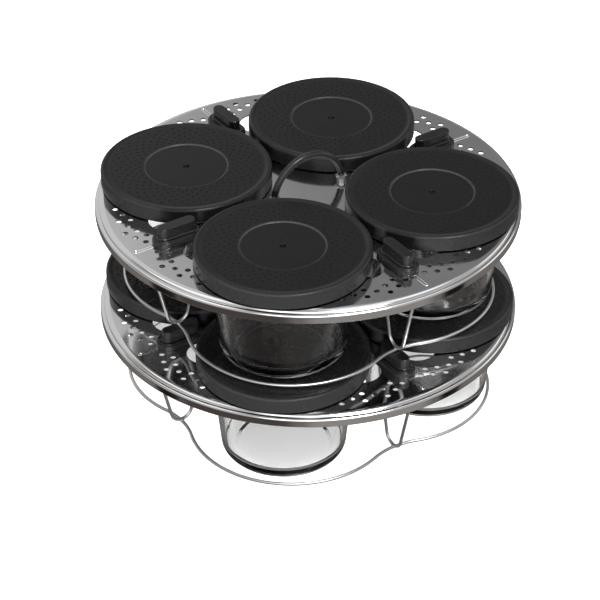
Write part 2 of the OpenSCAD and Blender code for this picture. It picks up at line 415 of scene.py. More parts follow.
def tray_steel():
    """Bright rolled sheet, near-mirror with faint haze and polishing lines. Punched hole walls are
    rough, and are painted nearly black as shade inside the holes.
    """
    m = Nodes("tray_steel", Metallic=1.0)
    facing = m.tree.nodes.new("ShaderNodeSeparateXYZ")
    m.link(m.tree.nodes.new("ShaderNodeTexCoord").outputs["Normal"], facing, 0)
    tilt = facing.outputs["Z"]
    _, radius = m.height_and_radius()
    upright = m.product(m.span(tilt, 0, 1, -0.5, -0.4), m.span(tilt, 1, 0, 0.4, 0.5))
    punched = m.product(upright, m.band(radius, 0, FLAT_R - 2.0))
    sheet = m.blend(m.span(m.noise(60, 2), 0, 1), (0.74, 0.74, 0.745), (0.80, 0.80, 0.80))
    # Painted shade: the hole walls get a near-black colour so that the holes read as dark.
    cut = m.blend(punched, (0, 0, 0), (0.10, 0.10, 0.10))
    m.link(sheet, cut.node, "A")
    m.link(cut, m.shader, "Base Color")
    m.roughness(m.total(m.span(m.noise(9, 5), 0.06, 0.13), m.span(punched, 0, 0.4, 0, 1)))
    m.bump(m.noise(0.5, 2, (14, 1, 1)), 0.0006)
    return m.material


def wire_steel():
    """Bright plated wire with soft draw marks."""
    m = Nodes("wire_steel", Metallic=1.0)
    m.colour(m.span(m.noise(12, 3), 0, 1), (0.66, 0.66, 0.66), (0.74, 0.74, 0.74))
    m.roughness(m.span(m.noise(5, 4), 0.30, 0.38))
    m.bump(m.noise(0.7, 3), 0.0015)
    return m.material


def fixing_steel():
    """Zinc-plated screws and nuts, a little cloudy."""
    m = Nodes("fixing_steel", Metallic=1.0)
    m.colour(m.span(m.noise(2.5, 4), 0, 1), (0.66, 0.66, 0.67), (0.78, 0.78, 0.78))
    m.roughness(m.span(m.noise(1.5, 4), 0.18, 0.34))
    m.bump(m.noise(0.35, 3), 0.006)
    return m.material


def collar_steel():
    """Bright crimped collars with small tool marks."""
    m = Nodes("collar_steel", Metallic=1.0)
    m.colour(m.span(m.noise(3, 3), 0, 1), (0.26, 0.26, 0.26), (0.36, 0.36, 0.36))
    m.roughness(m.span(m.noise(1.2, 4), 0.42, 0.52))
    m.bump(m.noise(0.9, 3), 0.03)
    return m.material


def lid_plastic():
    """The lids' black plastic: matt in the dimples, which are darkened with painted shade, and smooth
    on its edges, which are painted lighter as a highlight.
    """
    dark, light = (0.0095, 0.0095, 0.0096), (0.0130, 0.0130, 0.0131)
    m = moulded("lid_plastic", dark, light, 0.24, 0.30, 0.22, 0.005, 0.16)
    ring = LID_TOP - LID_RIM_H
    height, radius = m.height_and_radius()
    below = m.band(height, ring - 0.4, ring - 0.06)
    dimple = m.product(below, m.band(radius, DISH_R + 1.5, LID_R - 6.0))
    dish_edge = m.band(radius, DISH_R - 0.6, DISH_R + 0.9)
    outside = m.band(radius, LID_R - 5.8, LID_R + 1)
    rim_edge = m.product(outside, m.band(height, ring - 0.8, LID_TOP + 1))
    # Painted highlight: the dish edge and the outer rim are painted lighter, standing in for the glint
    # along these edges.
    edge_highlight = m.total(dish_edge, m.product(rim_edge, m.span(m.noise(20, 3), 0.1, 0.25)))
    base = m.shader.inputs["Base Color"].links[0].from_socket
    rough = m.shader.inputs["Roughness"].links[0].from_socket
    edge_highlighted = m.blend(edge_highlight, (0, 0, 0), (0.048, 0.048, 0.048))
    m.link(base, edge_highlighted.node, "A")
    # Painted shade: the colour in the dimples is darkened towards black, as if shade lay in the
    # hollows.
    dimple_shaded = m.blend(m.span(dimple, 0, 0.5, 0, 1), (0, 0, 0), (0.001, 0.001, 0.001))
    m.link(edge_highlighted, dimple_shaded.node, "A")
    m.link(dimple_shaded, m.shader, "Base Color")
    matt = m.total(rough, m.span(dimple, 0, 0.3, 0, 1))
    m.roughness(m.total(matt, m.span(dish_edge, 0, -0.1, 0, 1)))
    return m.material


def moulded(name, dark, light, low, high, grain, depth, specular):
    """Black moulded plastic with a fine grain, and patches polished by hands."""
    m = Nodes(name, Specular_IOR_Level=specular)
    m.colour(m.span(m.noise(0.5, 3), 0, 1), dark, light)
    m.roughness(m.span(m.noise(14, 4), low, high))
    m.bump(m.noise(grain, 3, rough=0.65), depth)
    return m


def seal_silicone():
    """Milky silicone."""
    m = Nodes("seal_silicone", Subsurface_Weight=0.4, Subsurface_Scale=0.003, Roughness=0.5)
    m.colour(m.span(m.noise(6, 3), 0, 1), (0.74, 0.74, 0.71), (0.82, 0.82, 0.80))
    m.bump(m.noise(0.6, 3), 0.01)
    return m.material


def jar_glass():
    """Clear pressed glass with a slight ripple from the mould."""
    m = Nodes("jar_glass", Transmission_Weight=1.0, IOR=1.5, Roughness=0.0, Specular_IOR_Level=0.18)
    m.shader.inputs["Base Color"].default_value = (0.985, 0.99, 0.988, 1)
    m.bump(m.noise(9, 2, (1, 1, 2.5)), 0.05)
    return m.material


MATERIALS = {
    "tray_steel": tray_steel(),
    "bright_wire": wire_steel(),
    "fixing_steel": fixing_steel(),
    "collar_steel": collar_steel(),
    "lid_plastic": lid_plastic(),
    "post_plastic": moulded(
        "post_plastic", (0.004, 0.004, 0.004), (0.007, 0.007, 0.007), 0.20, 0.28, 0.2, 0.005, 0.5
    ).material,
    "sleeve_plastic": moulded(
        "sleeve_plastic", (0.008, 0.008, 0.008), (0.012, 0.012, 0.012), 0.20, 0.28, 0.3, 0.008, 0.35
    ).material,
    "seal_silicone": seal_silicone(),
    "jar_glass": jar_glass(),
}


# ---- trays ----

def jar_opening(grow, steps_long=64, steps_notch=28):
    """The hole that a jar hangs through, with its two finger notches, about the jar's axis."""
    r, n = JAR_HOLE_R + grow, NOTCH_R + grow
    reach = (NOTCH_AT**2 + r**2 - n**2) / (2 * NOTCH_AT)
    cross = math.degrees(math.acos(reach / r))
    notch_cross = math.degrees(math.acos((reach - NOTCH_AT) / n))
    loop = []
    for top in (0, 180):
        loop += arc(0, 0, r, r, top - 90 + cross, top + 90 - cross, steps_long)[1:-1]
        y = NOTCH_AT if top == 0 else -NOTCH_AT
        loop += arc(0, y, n, n, top + 90 - notch_cross, top + 90 + notch_cross, steps_notch)
    return loop


def tray_holes(grow):
    """Every hole's outline, made larger all round by grow."""
    loops = []
    for a in CORNERS.values():
        loops.append([turn((JAR_R + x, y), a) for x, y in jar_opening(grow)])
    for a in SIDES.values():
        spots = [turn((r, 0), s * k * VENT_PITCH) for r, ks in VENT_ROWS for k in ks for s in (1, -1)]
        for x, y in spots:
            loops.append([turn(p, a) for p in circle(x, y, VENT_R + grow, 24)])
        for u in (-SCREW_AT, SCREW_AT):
            loops.append([turn(p, a) for p in circle(POST_R + u, 0, FIXING_HOLE_R + grow, 12)])
    for s in (-1, 1):
        loops.append(circle(s * LOOP_R, 0, FIXING_HOLE_R + grow, 12))
    return loops


def in_hole(x, y):
    """True if the point lies in one of the tray's holes."""
    inside = FIXING_HOLE_R - 0.1
    for a in CORNERS.values():
        u, v = turn((x, y), -a)
        if math.hypot(u - JAR_R, v) < JAR_HOLE_R:
            return True
        if math.hypot(u - JAR_R, abs(v) - NOTCH_AT) < NOTCH_R:
            return True
    for a in SIDES.values():
        u, v = turn((x, y), -a)
        if min(math.hypot(u - POST_R - s * SCREW_AT, v) for s in (-1, 1)) < inside:
            return True
        for r, ks in VENT_ROWS:
            for k in ks:
                hx, hy = turn((r, 0), k * VENT_PITCH)
                if math.hypot(u - hx, abs(v) - hy) < VENT_R:
                    return True
    return math.hypot(abs(x) - LOOP_R, y) < inside


def sheet_with_holes():
    """The tray's flat sheet: both faces, and each hole's wall with its broken edges."""
    loops = [circle(0, 0, FLAT_R, EDGE_STEPS), *tray_holes(HOLE_BEVEL)]
    points, links = [], []
    for loop in loops:
        base = len(points)
        points += [Vector(p) for p in loop]
        links += [(base + i, base + (i + 1) % len(loop)) for i in range(len(loop))]
    flat, _, triangles, *_ = delaunay_2d_cdt(points, links, [], 1, 1e-5)
    kept = []
    for tri in triangles:
        x = sum(flat[i].x for i in tri) / 3
        y = sum(flat[i].y for i in tri) / 3
        if not in_hole(x, y) and math.hypot(x, y) < FLAT_R:
            kept.append(tuple(tri))
    shapes = []
    for z in (0, -SHEET):
        shapes.append(([(p.x, p.y, z) for p in flat], kept))
    steps = ((HOLE_BEVEL, 0), (HOLE_BEVEL * 0.3, HOLE_BEVEL * 0.3), (0, HOLE_BEVEL))
    walls = [(grow, -z) for grow, z in steps] + [(grow, z - SHEET) for grow, z in reversed(steps)]
    stacks = [tray_holes(grow) for grow, _ in walls]
    for i in range(len(stacks[0])):
        shapes.append(skin([at_height(stack[i], z) for stack, (_, z) in zip(stacks, walls)]))
    return joined(shapes)


def rolled_edge():
    """The tray's turned-down edge: a broad bright shoulder, a fine step, a second bend and a skirt."""
    outer = [
        *arc(FLAT_R, -2.0, 4.2, 2.0, 90, 10, 12),
        (TRAY_R - 2.76, -1.93),
        (TRAY_R - 2.6, -2.08),
        (TRAY_R - 2.4, -2.13),
        *arc(TRAY_R - 2.0, -4.15, 2.0, 2.0, 90, 0, 12),
        (TRAY_R, -RIM_H + 0.5),
        *arc(TRAY_R - 0.5, -RIM_H + 0.5, 0.5, 0.5, 0, -180, 8)[1:],
    ]
    inner = [
        (TRAY_R - SHEET, -4.6),
        *arc(TRAY_R - 2.4, -4.4, 1.4, 1.2, 0, 90, 5),
        (TRAY_R - 3.4, -3.0),
        *arc(FLAT_R, -3.0, 3.5, 2.0, 0, 90, 8),
    ]
    return lathe(outer + inner, EDGE_STEPS)


def raised_bead():
    """A stamped bead outside a post: a bright outline round a flat panel, ending in a small eyelet."""
    length, across = 78, 20
    tip = BEAD_END - BEAD_HALF
    rows = []
    for i in range(length + 1):
        u = BEAD_START + (BEAD_END - BEAD_START) * i / length
        past = max(0.0, u - tip)
        half = math.sqrt(max(BEAD_HALF**2 - past**2, 1e-4))
        row = []
        for k in range(across + 1):
            v = half * (2 * k / across - 1)
            edge = BEAD_HALF - math.hypot(past, v) if past else min(BEAD_HALF - abs(v), u - BEAD_START)
            row.append((u, v, bead_height(u - tip, v, edge)))
        rows.append(row)
    verts = [p for row in rows for p in row]
    wide = across + 1
    faces = []
    for i in range(length):
        for k in range(across):
            a = i * wide + k
            faces.append((a, a + 1, a + wide + 1, a + wide))
    rim = list(range(wide))
    rim += [i * wide + across for i in range(1, length + 1)]
    rim += [length * wide + k for k in range(across - 1, -1, -1)]
    rim += [i * wide for i in range(length - 1, 0, -1)]
    base = len(verts)
    verts += [(verts[i][0], verts[i][1], -SHEET / 2) for i in rim]
    count = len(rim)
    for k in range(count):
        n = (k + 1) % count
        faces.append((rim[k], rim[n], base + n, base + k))
    faces.append(tuple(range(base, base + count)))
    return verts, faces


def bead_height(past_tip, v, edge):
    """Height of a bead's surface, from the distance to its outline and the place along it."""
    rise_wide, fall_from, fall_wide = 0.65, 0.7, 0.5
    pit_r, pit_slope, pit_deep = 1.0, 0.35, 0.25
    ring_r, ring_half, ring_high = 1.25, 0.3, 0.2
    rise = held(edge / rise_wide)
    fall = held((edge - fall_from) / fall_wide)
    eyelet = math.hypot(past_tip + 0.1, v)
    pit = held((pit_r - eyelet) / pit_slope)
    ring = held(1 - abs(eyelet - ring_r) / ring_half)
    wall = BEAD_H * rise * rise * (3 - 2 * rise) * (1 - 0.9 * fall * fall * (3 - 2 * fall))
    return wall + ring_high * ring * rise - pit_deep * pit * rise - BEAD_SINK


def held(value):
    """The value, kept between 0 and 1."""
    return min(1.0, max(0.0, value))


def tray_shape():
    """The whole pressed tray, with a bead outside each post."""
    beads = [placed(raised_bead(), Matrix.Rotation(math.radians(a), 4, "Z")) for a in SIDES.values()]
    return joined([sheet_with_holes(), rolled_edge(), *beads])


# ---- wire feet ----

def ring_path():
    """The wavy foot ring: an arc outside each jar, and an arc the other way at each post."""
    c45 = math.cos(math.radians(45))
    dip_c = RING_DIP_R + RING_DIP_BEND
    up = RING_OUT_R**2 + dip_c**2 - 2 * RING_OUT_R * dip_c * c45 - RING_DIP_BEND**2
    bend = up / (2 * RING_OUT_R + 2 * RING_DIP_BEND - 2 * dip_c * c45)
    centre = RING_OUT_R - bend
    half = math.degrees(math.atan2(dip_c * c45, dip_c * c45 - centre))
    dip = half - 45
    z = WIRE_R - FOOT_DEPTH
    path = []
    for a in CORNERS.values():
        bulge = arc(centre, 0, bend, bend, -half, half, 72)
        inward = arc(dip_c, 0, RING_DIP_BEND, RING_DIP_BEND, 180 + dip, 180 - dip, 20)
        path += [(*turn(p, a), z) for p in bulge]
        path += [(*turn(p, a + 45), z) for p in inward[1:-1]]
    return path


def leg_path(base):
    """One leg in its own plane, from its inner end under the tray down to the ring and out again."""
    bottom = -90
    bend = arc(0, 0, LEG_BEND, LEG_BEND, LEG_IN_LEAN - 180, bottom, 10)
    bend += arc(0, 0, LEG_BEND, LEG_BEND, bottom, -LEG_OUT_LEAN, 10)[1:]
    top = -SHEET + 0.1 - base
    ends = []
    for (x, z), lean, side in ((bend[0], LEG_IN_LEAN, -1), (bend[-1], LEG_OUT_LEAN, 1)):
        slope = side * math.tan(math.radians(lean))
        straight = [z + (top - z) * t for t in (1, 0.985, 0.965, 0.8, 0.4, 0.12, 0.04)]
        ends.append([(x + slope * (h - z), h) for h in straight])
    return ends[0] + bend + ends[1][::-1]


def leg_shape(a):
    """A leg wire, flared where it is welded to the tray, with the weld nugget on the ring."""
    base = WIRE_R - FOOT_DEPTH + 2 * WIRE_R - WELD_SINK + LEG_BEND
    path = leg_path(base)
    flare = [1.85, 1.45, 1.22]
    radii = flare + [WIRE_R] * (len(path) - 2 * len(flare)) + flare[::-1]
    wire = tube([(RING_DIP_R + x, 0, base + z) for x, z in path], radii, (0, 1, 0))
    nugget_r, nugget_half = 1.75, 1.0
    ball = arc(0, 0, nugget_r, nugget_half, -90, 90, 12)
    nugget = lathe([(max(0.0, r), z) for r, z in ball], 24)
    middle = WIRE_R - FOOT_DEPTH + WIRE_R - WELD_SINK / 2
    nugget = placed(nugget, Matrix.Translation((RING_DIP_R, 0, middle)))
    return placed(joined([wire, nugget]), Matrix.Rotation(math.radians(a), 4, "Z"))


# ---- posts ----

def post_shape(a):
    """A stacking post: a rounded foot, a ledge, and a bar with ribbed ends."""
    foot, bar, steps = 9.55, 10.05, 56
    layers = [(foot, 8.45, 0.0), (foot, 8.7, 0.25), (foot, 8.66, 2.9)]
    layers += [(foot, r, z) for r, z in arc(7.96, 2.9, 0.7, 0.7, 10, 80, 4)]
    layers += [(foot, r, z) for r, z in arc(7.75, 3.95, 0.35, 0.35, -95, -170, 3)]
    layers += [(foot, r, z) for r, z in arc(7.1, 4.25, 0.35, 0.35, 10, 90, 3)]
    layers += [(foot, 6.2, 4.52)]
    layers += [(bar, r, z) for r, z in arc(5.5, 5.75, 1.3, 1.25, -90, -180, 5)]
    ribbed = len(layers)
    layers += [(bar, 4.2, z) for z in (6.0, 6.2, 8.8, 11.3, 11.5)]
    smooth = len(layers)
    layers += [(bar, r, z) for r, z in arc(3.5, POST_H - 0.7, 0.7, 0.7, 0, 90, 5)]
    rings = [[(0, 0, 0)]]
    for i, (half, r, z) in enumerate(layers):
        deep = 0.16 if ribbed + 1 <= i < smooth - 1 else 0.0
        rings.append(at_height(stadium(half, r, steps, 11, deep), z))
    rings.append(at_height(stadium(bar, 0.4, steps), POST_H))
    rings.append([(0, 0, POST_H)])
    spot = Matrix.Rotation(math.radians(a), 4, "Z") @ Matrix.Translation((POST_R, 0, 0))
    return placed(skin(rings), spot)


def polygon_ring(sides, r_flat, cap, steps=72):
    """A loop that follows a regular polygon, cut off at radius cap where that is nearer."""
    loop = []
    for k in range(steps):
        a = 2 * math.pi * k / steps
        wedge = (a + math.pi / sides) % (2 * math.pi / sides) - math.pi / sides
        r = min(r_flat / math.cos(wedge), cap)
        loop.append((r * math.cos(a), r * math.sin(a)))
    return loop


def screw_shape():
    """A button-head socket screw, head down: the seat under its head is at z = 0."""
    shank, length, socket = 1.5, 8.0, 1.04
    wide = 9.0
    round_rings = [(shank - 0.3, length), (shank, length - 0.3), (shank, 0.0)]
    round_rings += arc(shank, 0, 1.3, 1.9, 0, -80, 7)
    rings = [[(0, 0, length)]]
    for r, z in round_rings:
        rings.append(at_height(polygon_ring(6, wide, r), z))
    for flat, cap, z in ((socket + 0.08, 1.4, -1.9), (socket, 1.2, -1.75), (socket, 1.2, -0.8)):
        rings.append(at_height(polygon_ring(6, flat, cap), z))
    rings.append([(0, 0, -0.6)])
    return skin(rings)


def post_screws_shape():
    """All eight screws, up through the tray from below."""
    screw = screw_shape()
    shapes = []
    for a in SIDES.values():
        for u in (-SCREW_AT, SCREW_AT):
            inner = Matrix.Translation((POST_R + u, 0, -SHEET))
            shapes.append(placed(screw, Matrix.Rotation(math.radians(a), 4, "Z") @ inner))
    return joined(shapes)


# ---- jars, lids and seals ----

def jar_shape():
    """A pressed glass bowl: heavy rounded bottom, tapered wall, and a flange under the mouth."""
    low, high = -JAR_DEPTH, MOUTH_H
    inner_low = JAR_LOW_R - JAR_WALL
    profile = rounded(
        [
            (0.0, low + 1.1),
            (31.0, low + 1.1, 3.0),
            (34.5, low, 2.0),
            (JAR_LOW_R - 0.55, low, 7.4),
            (JAR_LOW_R + 0.2, low + 9.0),
            (JAR_TOP_R, -0.7, 0.6),
            (JAR_TOP_R, 0.02, 0.15),
            (FLANGE_R, 0.02, 0.8),
            (FLANGE_R, 2.7, 0.8),
            (52.3, 3.2, 1.0),
            (MOUTH_R, high, 0.9),
            (MOUTH_R - 4.2, high, 0.9),
            (JAR_TOP_R - JAR_WALL, 0.0, 4.0),
            (inner_low + 0.6, low + JAR_FLOOR + 8.0),
            (inner_low - 0.1, low + JAR_FLOOR, 6.5),
            (0.0, low + JAR_FLOOR - 0.4),
        ],
        steps=8,
    )
    return lathe(profile, 160)


def dimple_spots():
    """Centres of a lid's dimples: equal rings, each half a step round from the last."""
    spots = []
    for i in range(DIMPLE_RINGS):
        r = DIMPLE_FIRST_R + DIMPLE_PITCH * i
        for k in range(DIMPLES_PER_RING):
            spots.append(turn((r, 0), 360 * (k + 0.5 * ((i + 1) % 2)) / DIMPLES_PER_RING))
    return spots


def lid_shape():
    """A lid: rounded side, low raised rim, dimpled ring, sunken middle with a small well and pin."""
    steps = 168
    inner, outer = DISH_R + 1.9, LID_R - 5.6
    skirt, plug = 57.4, 46.6
    plate = MOUTH_H + SEAL_T
    ring = LID_TOP - LID_RIM_H
    middle = ring - DISH_DEEP
    side = rounded(
        [
            (outer, ring),
            (LID_R - 5.0, ring, 2.0),
            (LID_R - 2.5, LID_TOP, 0.9),
            (LID_R, LID_TOP, 2.2),
            (LID_R, 0.8, 0.5),
            (skirt, 0.8, 0.3),
            (skirt, plate, 0.6),
            (plug, plate, 0.3),
            (plug, 5.4, 0.4),
            (plug - 2.2, 5.4, 0.4),
            (plug - 2.2, plate, 0.5),
            (0.0, plate),
        ],
        steps=7,
    )
    dish = rounded(
        [
            (0.0, middle - 0.45),
            (0.75, middle - 0.45, 0.3),
            (0.75, middle - 1.3, 0.1),
            (WELL_R, middle - 1.3, 0.1),
            (WELL_R, middle, 0.5),
            (DISH_R - 0.1, middle, 0.6),
            (DISH_R + 0.4, ring, 0.6),
            (inner, ring),
        ],
        steps=6,
    )
    shapes = [lathe(side, steps), lathe(dish, steps), dimpled_ring(inner, outer, ring, steps)]
    return joined(shapes)


def dimpled_ring(inner, outer, z, steps):
    """The flat ring of a lid with its dimples let in."""
    sides = 14
    hollow = ((1, 0), (0.82, 0.42), (0.55, 0.77), (0.25, 0.96))
    bowl = [(DIMPLE_R * r, DIMPLE_DEEP * h) for r, h in hollow]
    points, links = [], []
    hollows = []
    for r in (inner, outer):
        base = len(points)
        points += [Vector(p) for p in circle(0, 0, r, steps)]
        links += [(base + i, base + (i + 1) % steps) for i in range(steps)]
    for x, y in dimple_spots():
        base = len(points)
        loops = [circle(x, y, r, sides) for r, _ in bowl]
        points += [Vector(p) for p in loops[0]]
        links += [(base + i, base + (i + 1) % sides) for i in range(sides)]
        rings = [at_height(loop, z - deep) for loop, (_, deep) in zip(loops, bowl)]
        hollows.append(skin([*rings, [(x, y, z - DIMPLE_DEEP)]]))
    flat, _, triangles, *_ = delaunay_2d_cdt(points, links, [], 1, 1e-5)
    first_dimple = 2 * steps
    kept = []
    for tri in triangles:
        owners = {(i - first_dimple) // sides if i >= first_dimple else -1 for i in tri}
        radius = math.hypot(sum(flat[i].x for i in tri) / 3, sum(flat[i].y for i in tri) / 3)
        if inner < radius < outer and (len(owners) > 1 or -1 in owners):
            kept.append(tuple(tri))
    return joined([([(p.x, p.y, z) for p in flat], kept), *hollows])


def seal_shape():
    """A soft ring with three ridges on the face that meets the jar's mouth."""
    top = MOUTH_H + SEAL_T - 0.02
    under = MOUTH_H + 0.02
    corners = [(SEAL_IN_R, top, 0.3), (SEAL_OUT_R, top, 0.3), (SEAL_OUT_R, under, 0.4)]
    ridges = (53.0, 50.6, 48.4)
    for r in ridges:
        corners += [(r + 0.4, under, 0.1), (r, under + 0.4, 0.2), (r - 0.4, under, 0.1)]
    corners.append((SEAL_IN_R, under, 0.4))
    return lathe(rounded(corners, 3, closed=True), 128, closed=True)


# ---- loop handle ----

def loop_arc(start, end, steps, grow=0.0):
    """Points of the handle's bend, in the plane y = 0."""
    return [(x, 0.0, z) for x, z in arc(0, LOOP_Z, LOOP_R + grow, LOOP_R + grow, start, end, steps)]


def handle_wire_shape():
    """The handle's bent wire, its ends down through the tray."""
    path = [(LOOP_R, 0, -5.0), (LOOP_R, 0, -4.8), (LOOP_R, 0, 0.0)]
    path += loop_arc(0, 180, 64)
    path += [(-LOOP_R, 0, 0.0), (-LOOP_R, 0, -4.8), (-LOOP_R, 0, -5.0)]
    radii = [LOOP_WIRE_R - 0.25] + [LOOP_WIRE_R] * (len(path) - 2) + [LOOP_WIRE_R - 0.25]
    return tube(path, radii, (0, 1, 0), 24)


def handle_sleeve_shape():
    """A hollow soft sleeve over the wire, its ends rounded over."""
    angle = 180 - 2 * SLEEVE_FROM
    ends = (0.0, 0.002, 0.006, 0.012)
    spots = [*ends, *[k / 72 for k in range(2, 71)], *[1 - t for t in reversed(ends)]]
    swell = [0.35, 0.14, 0.04, 0.0]
    end = [SLEEVE_R - s for s in swell]
    outer = end + [SLEEVE_R] * (len(spots) - 2 * len(end)) + end[::-1]
    sides = 28
    rings = []
    for radii, order in ((outer, 1), ([LOOP_WIRE_R + 0.05] * len(spots), -1)):
        layer = []
        for t, r in zip(spots, radii):
            a = math.radians(SLEEVE_FROM + angle * t)
            out = Vector((math.cos(a), 0, math.sin(a)))
            centre = Vector((0, 0, LOOP_Z)) + LOOP_R * out
            spins = [2 * math.pi * k / sides for k in range(sides)]
            spokes = [math.cos(s) * out + Vector((0, math.sin(s), 0)) for s in spins]
            layer.append([tuple(centre + r * spoke) for spoke in spokes])
        rings += layer[::order]
    return skin(rings, closed=True)


def star(points, outer, inner, steps):
    """A star-shaped loop with straight flanks."""
    corners = []
    for i in range(2 * points):
        r = outer if i % 2 == 0 else inner
        a = math.pi * i / points
        corners.append(Vector((r * math.cos(a), r * math.sin(a))))
    loop = []
    for i, p in enumerate(corners):
        q = corners[(i + 1) % len(corners)]
        loop += [tuple(p.lerp(q, k / steps)) for k in range(steps)]
    return loop


def collar_shape():
    """A crimped collar: a hexagonal shank under a faceted star."""
    bore, count = 1.75, 96
    def hexagon(r, z):
        return at_height(polygon_ring(6, r * math.cos(math.pi / 6), r, count), z)
    def ring(r, z):
        return at_height(polygon_ring(count, r, r + 1, count), z)
    def spike(outer, inner, z):
        return at_height(star(8, outer, inner, count // 16), z)
    rings = [
        ring(bore, 0.0), hexagon(2.9, 0.0), hexagon(3.2, 0.3), hexagon(3.2, 3.2), hexagon(2.9, 3.45),
        spike(3.7, 2.9, 3.6), spike(4.5, 3.2, 3.85), spike(4.6, 3.3, 4.3), spike(4.3, 3.1, 4.9),
        spike(3.4, 2.6, 5.2), ring(2.1, 5.2), ring(bore, 4.9),
    ]
    return skin(rings, closed=True)


def nut_shape():
    """A plain nut with chamfered corners, its top against the tray's underside."""
    bore, high, flat = 1.45, 2.4, 2.77
    def cut(cap, z):
        return at_height(polygon_ring(6, flat, cap), z)
    rings = [
        cut(bore, 0), cut(2.7, 0), cut(3.2, 0.3), cut(3.2, high - 0.3), cut(2.7, high), cut(bore, high),
    ]
    return placed(skin(rings, closed=True), Matrix.Translation((0, 0, -SHEET - high)))


def pair(shape, x):
    """A shape at both feet of the handle."""
    return joined([placed(shape, Matrix.Translation((s * x, 0, 0))) for s in (-1, 1)])


# ---- the whole rack ----

def build():
    """Makes each mesh once and places its pieces on both tiers."""
    def mesh(name, shape, slot, **options):
        """A mesh in the named material."""
        return make_mesh(name, shape, MATERIALS[slot], **options)

    tray = mesh("tray", tray_shape(), "tray_steel", weld=0.001)
    ring = ring_path()
    foot_ring = mesh("foot_ring", tube(ring, [WIRE_R] * len(ring), (0, 0, 1), 24, True), "bright_wire")
    legs = {side: mesh(f"leg_{side}", leg_shape(a), "bright_wire") for side, a in SIDES.items()}
    posts = {side: mesh(f"post_{side}", post_shape(a), "post_plastic") for side, a in SIDES.items()}
    screws = mesh("post_screws", post_screws_shape(), "fixing_steel")
    wire = mesh("handle_wire", handle_wire_shape(), "bright_wire")
    sleeve = mesh("handle_sleeve", handle_sleeve_shape(), "sleeve_plastic")
    collars = mesh("handle_collars", pair(collar_shape(), LOOP_R - 0.2), "collar_steel", sharp=20)
    nuts = mesh("handle_nuts", pair(nut_shape(), LOOP_R), "fixing_steel")
    jar = mesh("jar", jar_shape(), "jar_glass", sharp=60)
    lid = mesh("lid", lid_shape(), "lid_plastic", weld=0.001)
    seal = mesh("seal", seal_shape(), "seal_silicone")

    for tier in TIERS:
        z = lift[tier]
        body = f"{tier}_frame"

        def fixed(name, made):
            """A piece that doesn't move on its tier."""
            make_piece(f"{tier}_{name}_visual", made, body, [f"{tier}_{name}"], at(z=z))

        fixed("tray", tray)
        fixed("foot_ring", foot_ring)
        for side in SIDES:
            fixed(f"leg_{side}", legs[side])
            fixed(f"post_{side}", posts[side])
        fixed("post_screws", screws)
        fixed("handle_wire", wire)
        fixed("handle_sleeve", sleeve)
        fixed("handle_collars", collars)
        fixed("handle_nuts", nuts)
        for corner, a in CORNERS.items():
            x, y = turn((JAR_R, 0), a)
            place = at(x, y, z, a)
            for name, made, owner, slot in (
                ("jar", jar, "jar", "jar_glass"),
                ("lid", lid, "lid", "lid_plastic"),
                ("seal", seal, "lid", "seal_silicone"),
            ):
                node = f"{tier}_{name}_{corner}"
                make_piece(f"{node}_visual", made, f"{tier}_{owner}_{corner}", [node], place)


# ---- stage: floor, world, lights and camera ----

def pale_floor():
    """A white floor. Light that has been mirrored on its way sees it as the dim floor of the studio."""
    mesh = bpy.data.meshes.new("floor")
    reach = FLOOR_R * MM
    corners = [(-reach, -reach, 0), (reach, -reach, 0), (reach, reach, 0), (-reach, reach, 0)]
    mesh.from_pydata(corners, [], [(0, 1, 2, 3)])
    floor = bpy.data.objects.new("floor", mesh)
    bpy.context.scene.collection.objects.link(floor)
    m = Nodes("pale_floor", Roughness=0.9, Specular_IOR_Level=0.1)
    path = m.tree.nodes.new("ShaderNodeLightPath").outputs
    mirrored = path["Glossy Depth"]
    white = m.blend(m.span(m.noise(400, 3), 0, 1), (0.90, 0.90, 0.90), (0.93, 0.93, 0.93))
    dim = m.blend(m.span(mirrored, 0, 1, 0, 1), (0, 0, 0), (0.08, 0.07, 0.065))
    m.link(white, dim.node, "A")
    m.link(dim, m.shader, "Base Color")
    m.shader.inputs["Emission Color"].default_value = (1, 1, 1, 1)
    glow = m.span(path["Is Camera Ray"], 0.6, 1.2, 0, 1)
    dimmed = m.span(mirrored, 1, 0.28, 0, 1)
    m.link(m.product(glow, dimmed), m.shader, "Emission Strength")
    mesh.materials.append(m.material)
    floor.visible_glossy = False


# Soft panels and dark gaps of the studio, seen in the steel. Each is (side, height, half width,
# soft edge, colour), in degrees. Side 0 is FRONT, the camera's direction from the rack, and sides
# are counted anticlockwise as seen from above.
FRONT = 236.3
STUDIO_PANELS = (
    (-160, 18, 34, 9, (0.68, 0.68, 0.68)),
    (155, 28, 25, 10, (0.22, 0.22, 0.22)),
    (116, 22, 15, 5, (1.15, 1.15, 1.15)),
    (-100, 38, 12, 5, (0.15, 0.15, 0.15)),
    (-118, 62, 15, 5, (1.25, 1.25, 1.25)),
    (123, 69, 15, 4, (1.25, 1.25, 1.25)),
    (-125, 80, 6, 4, (0.2, 0.2, 0.2)),
    (-68, 54, 12, 5, (1.1, 1.1, 1.1)),
    (0, 29, 23, 8, (2.2, 2.2, 2.2)),
    (-15, 64, 13, 5, (0.28, 0.28, 0.28)),
    (70, 52, 10, 5, (0.42, 0.42, 0.42)),
    (35, 56, 10, 4, (22.0, 22.0, 22.0)),
    (35, -34, 28, 8, (0.30, 0.285, 0.27)),
    (-42, -34, 26, 8, (0.07, 0.06, 0.055)),
    (-84, -34, 7, 4, (0.012, 0.010, 0.009)),
    (85, -34, 6, 4, (0.010, 0.008, 0.007)),
    (-140, -33, 12, 8, (0.13, 0.115, 0.105)),
)


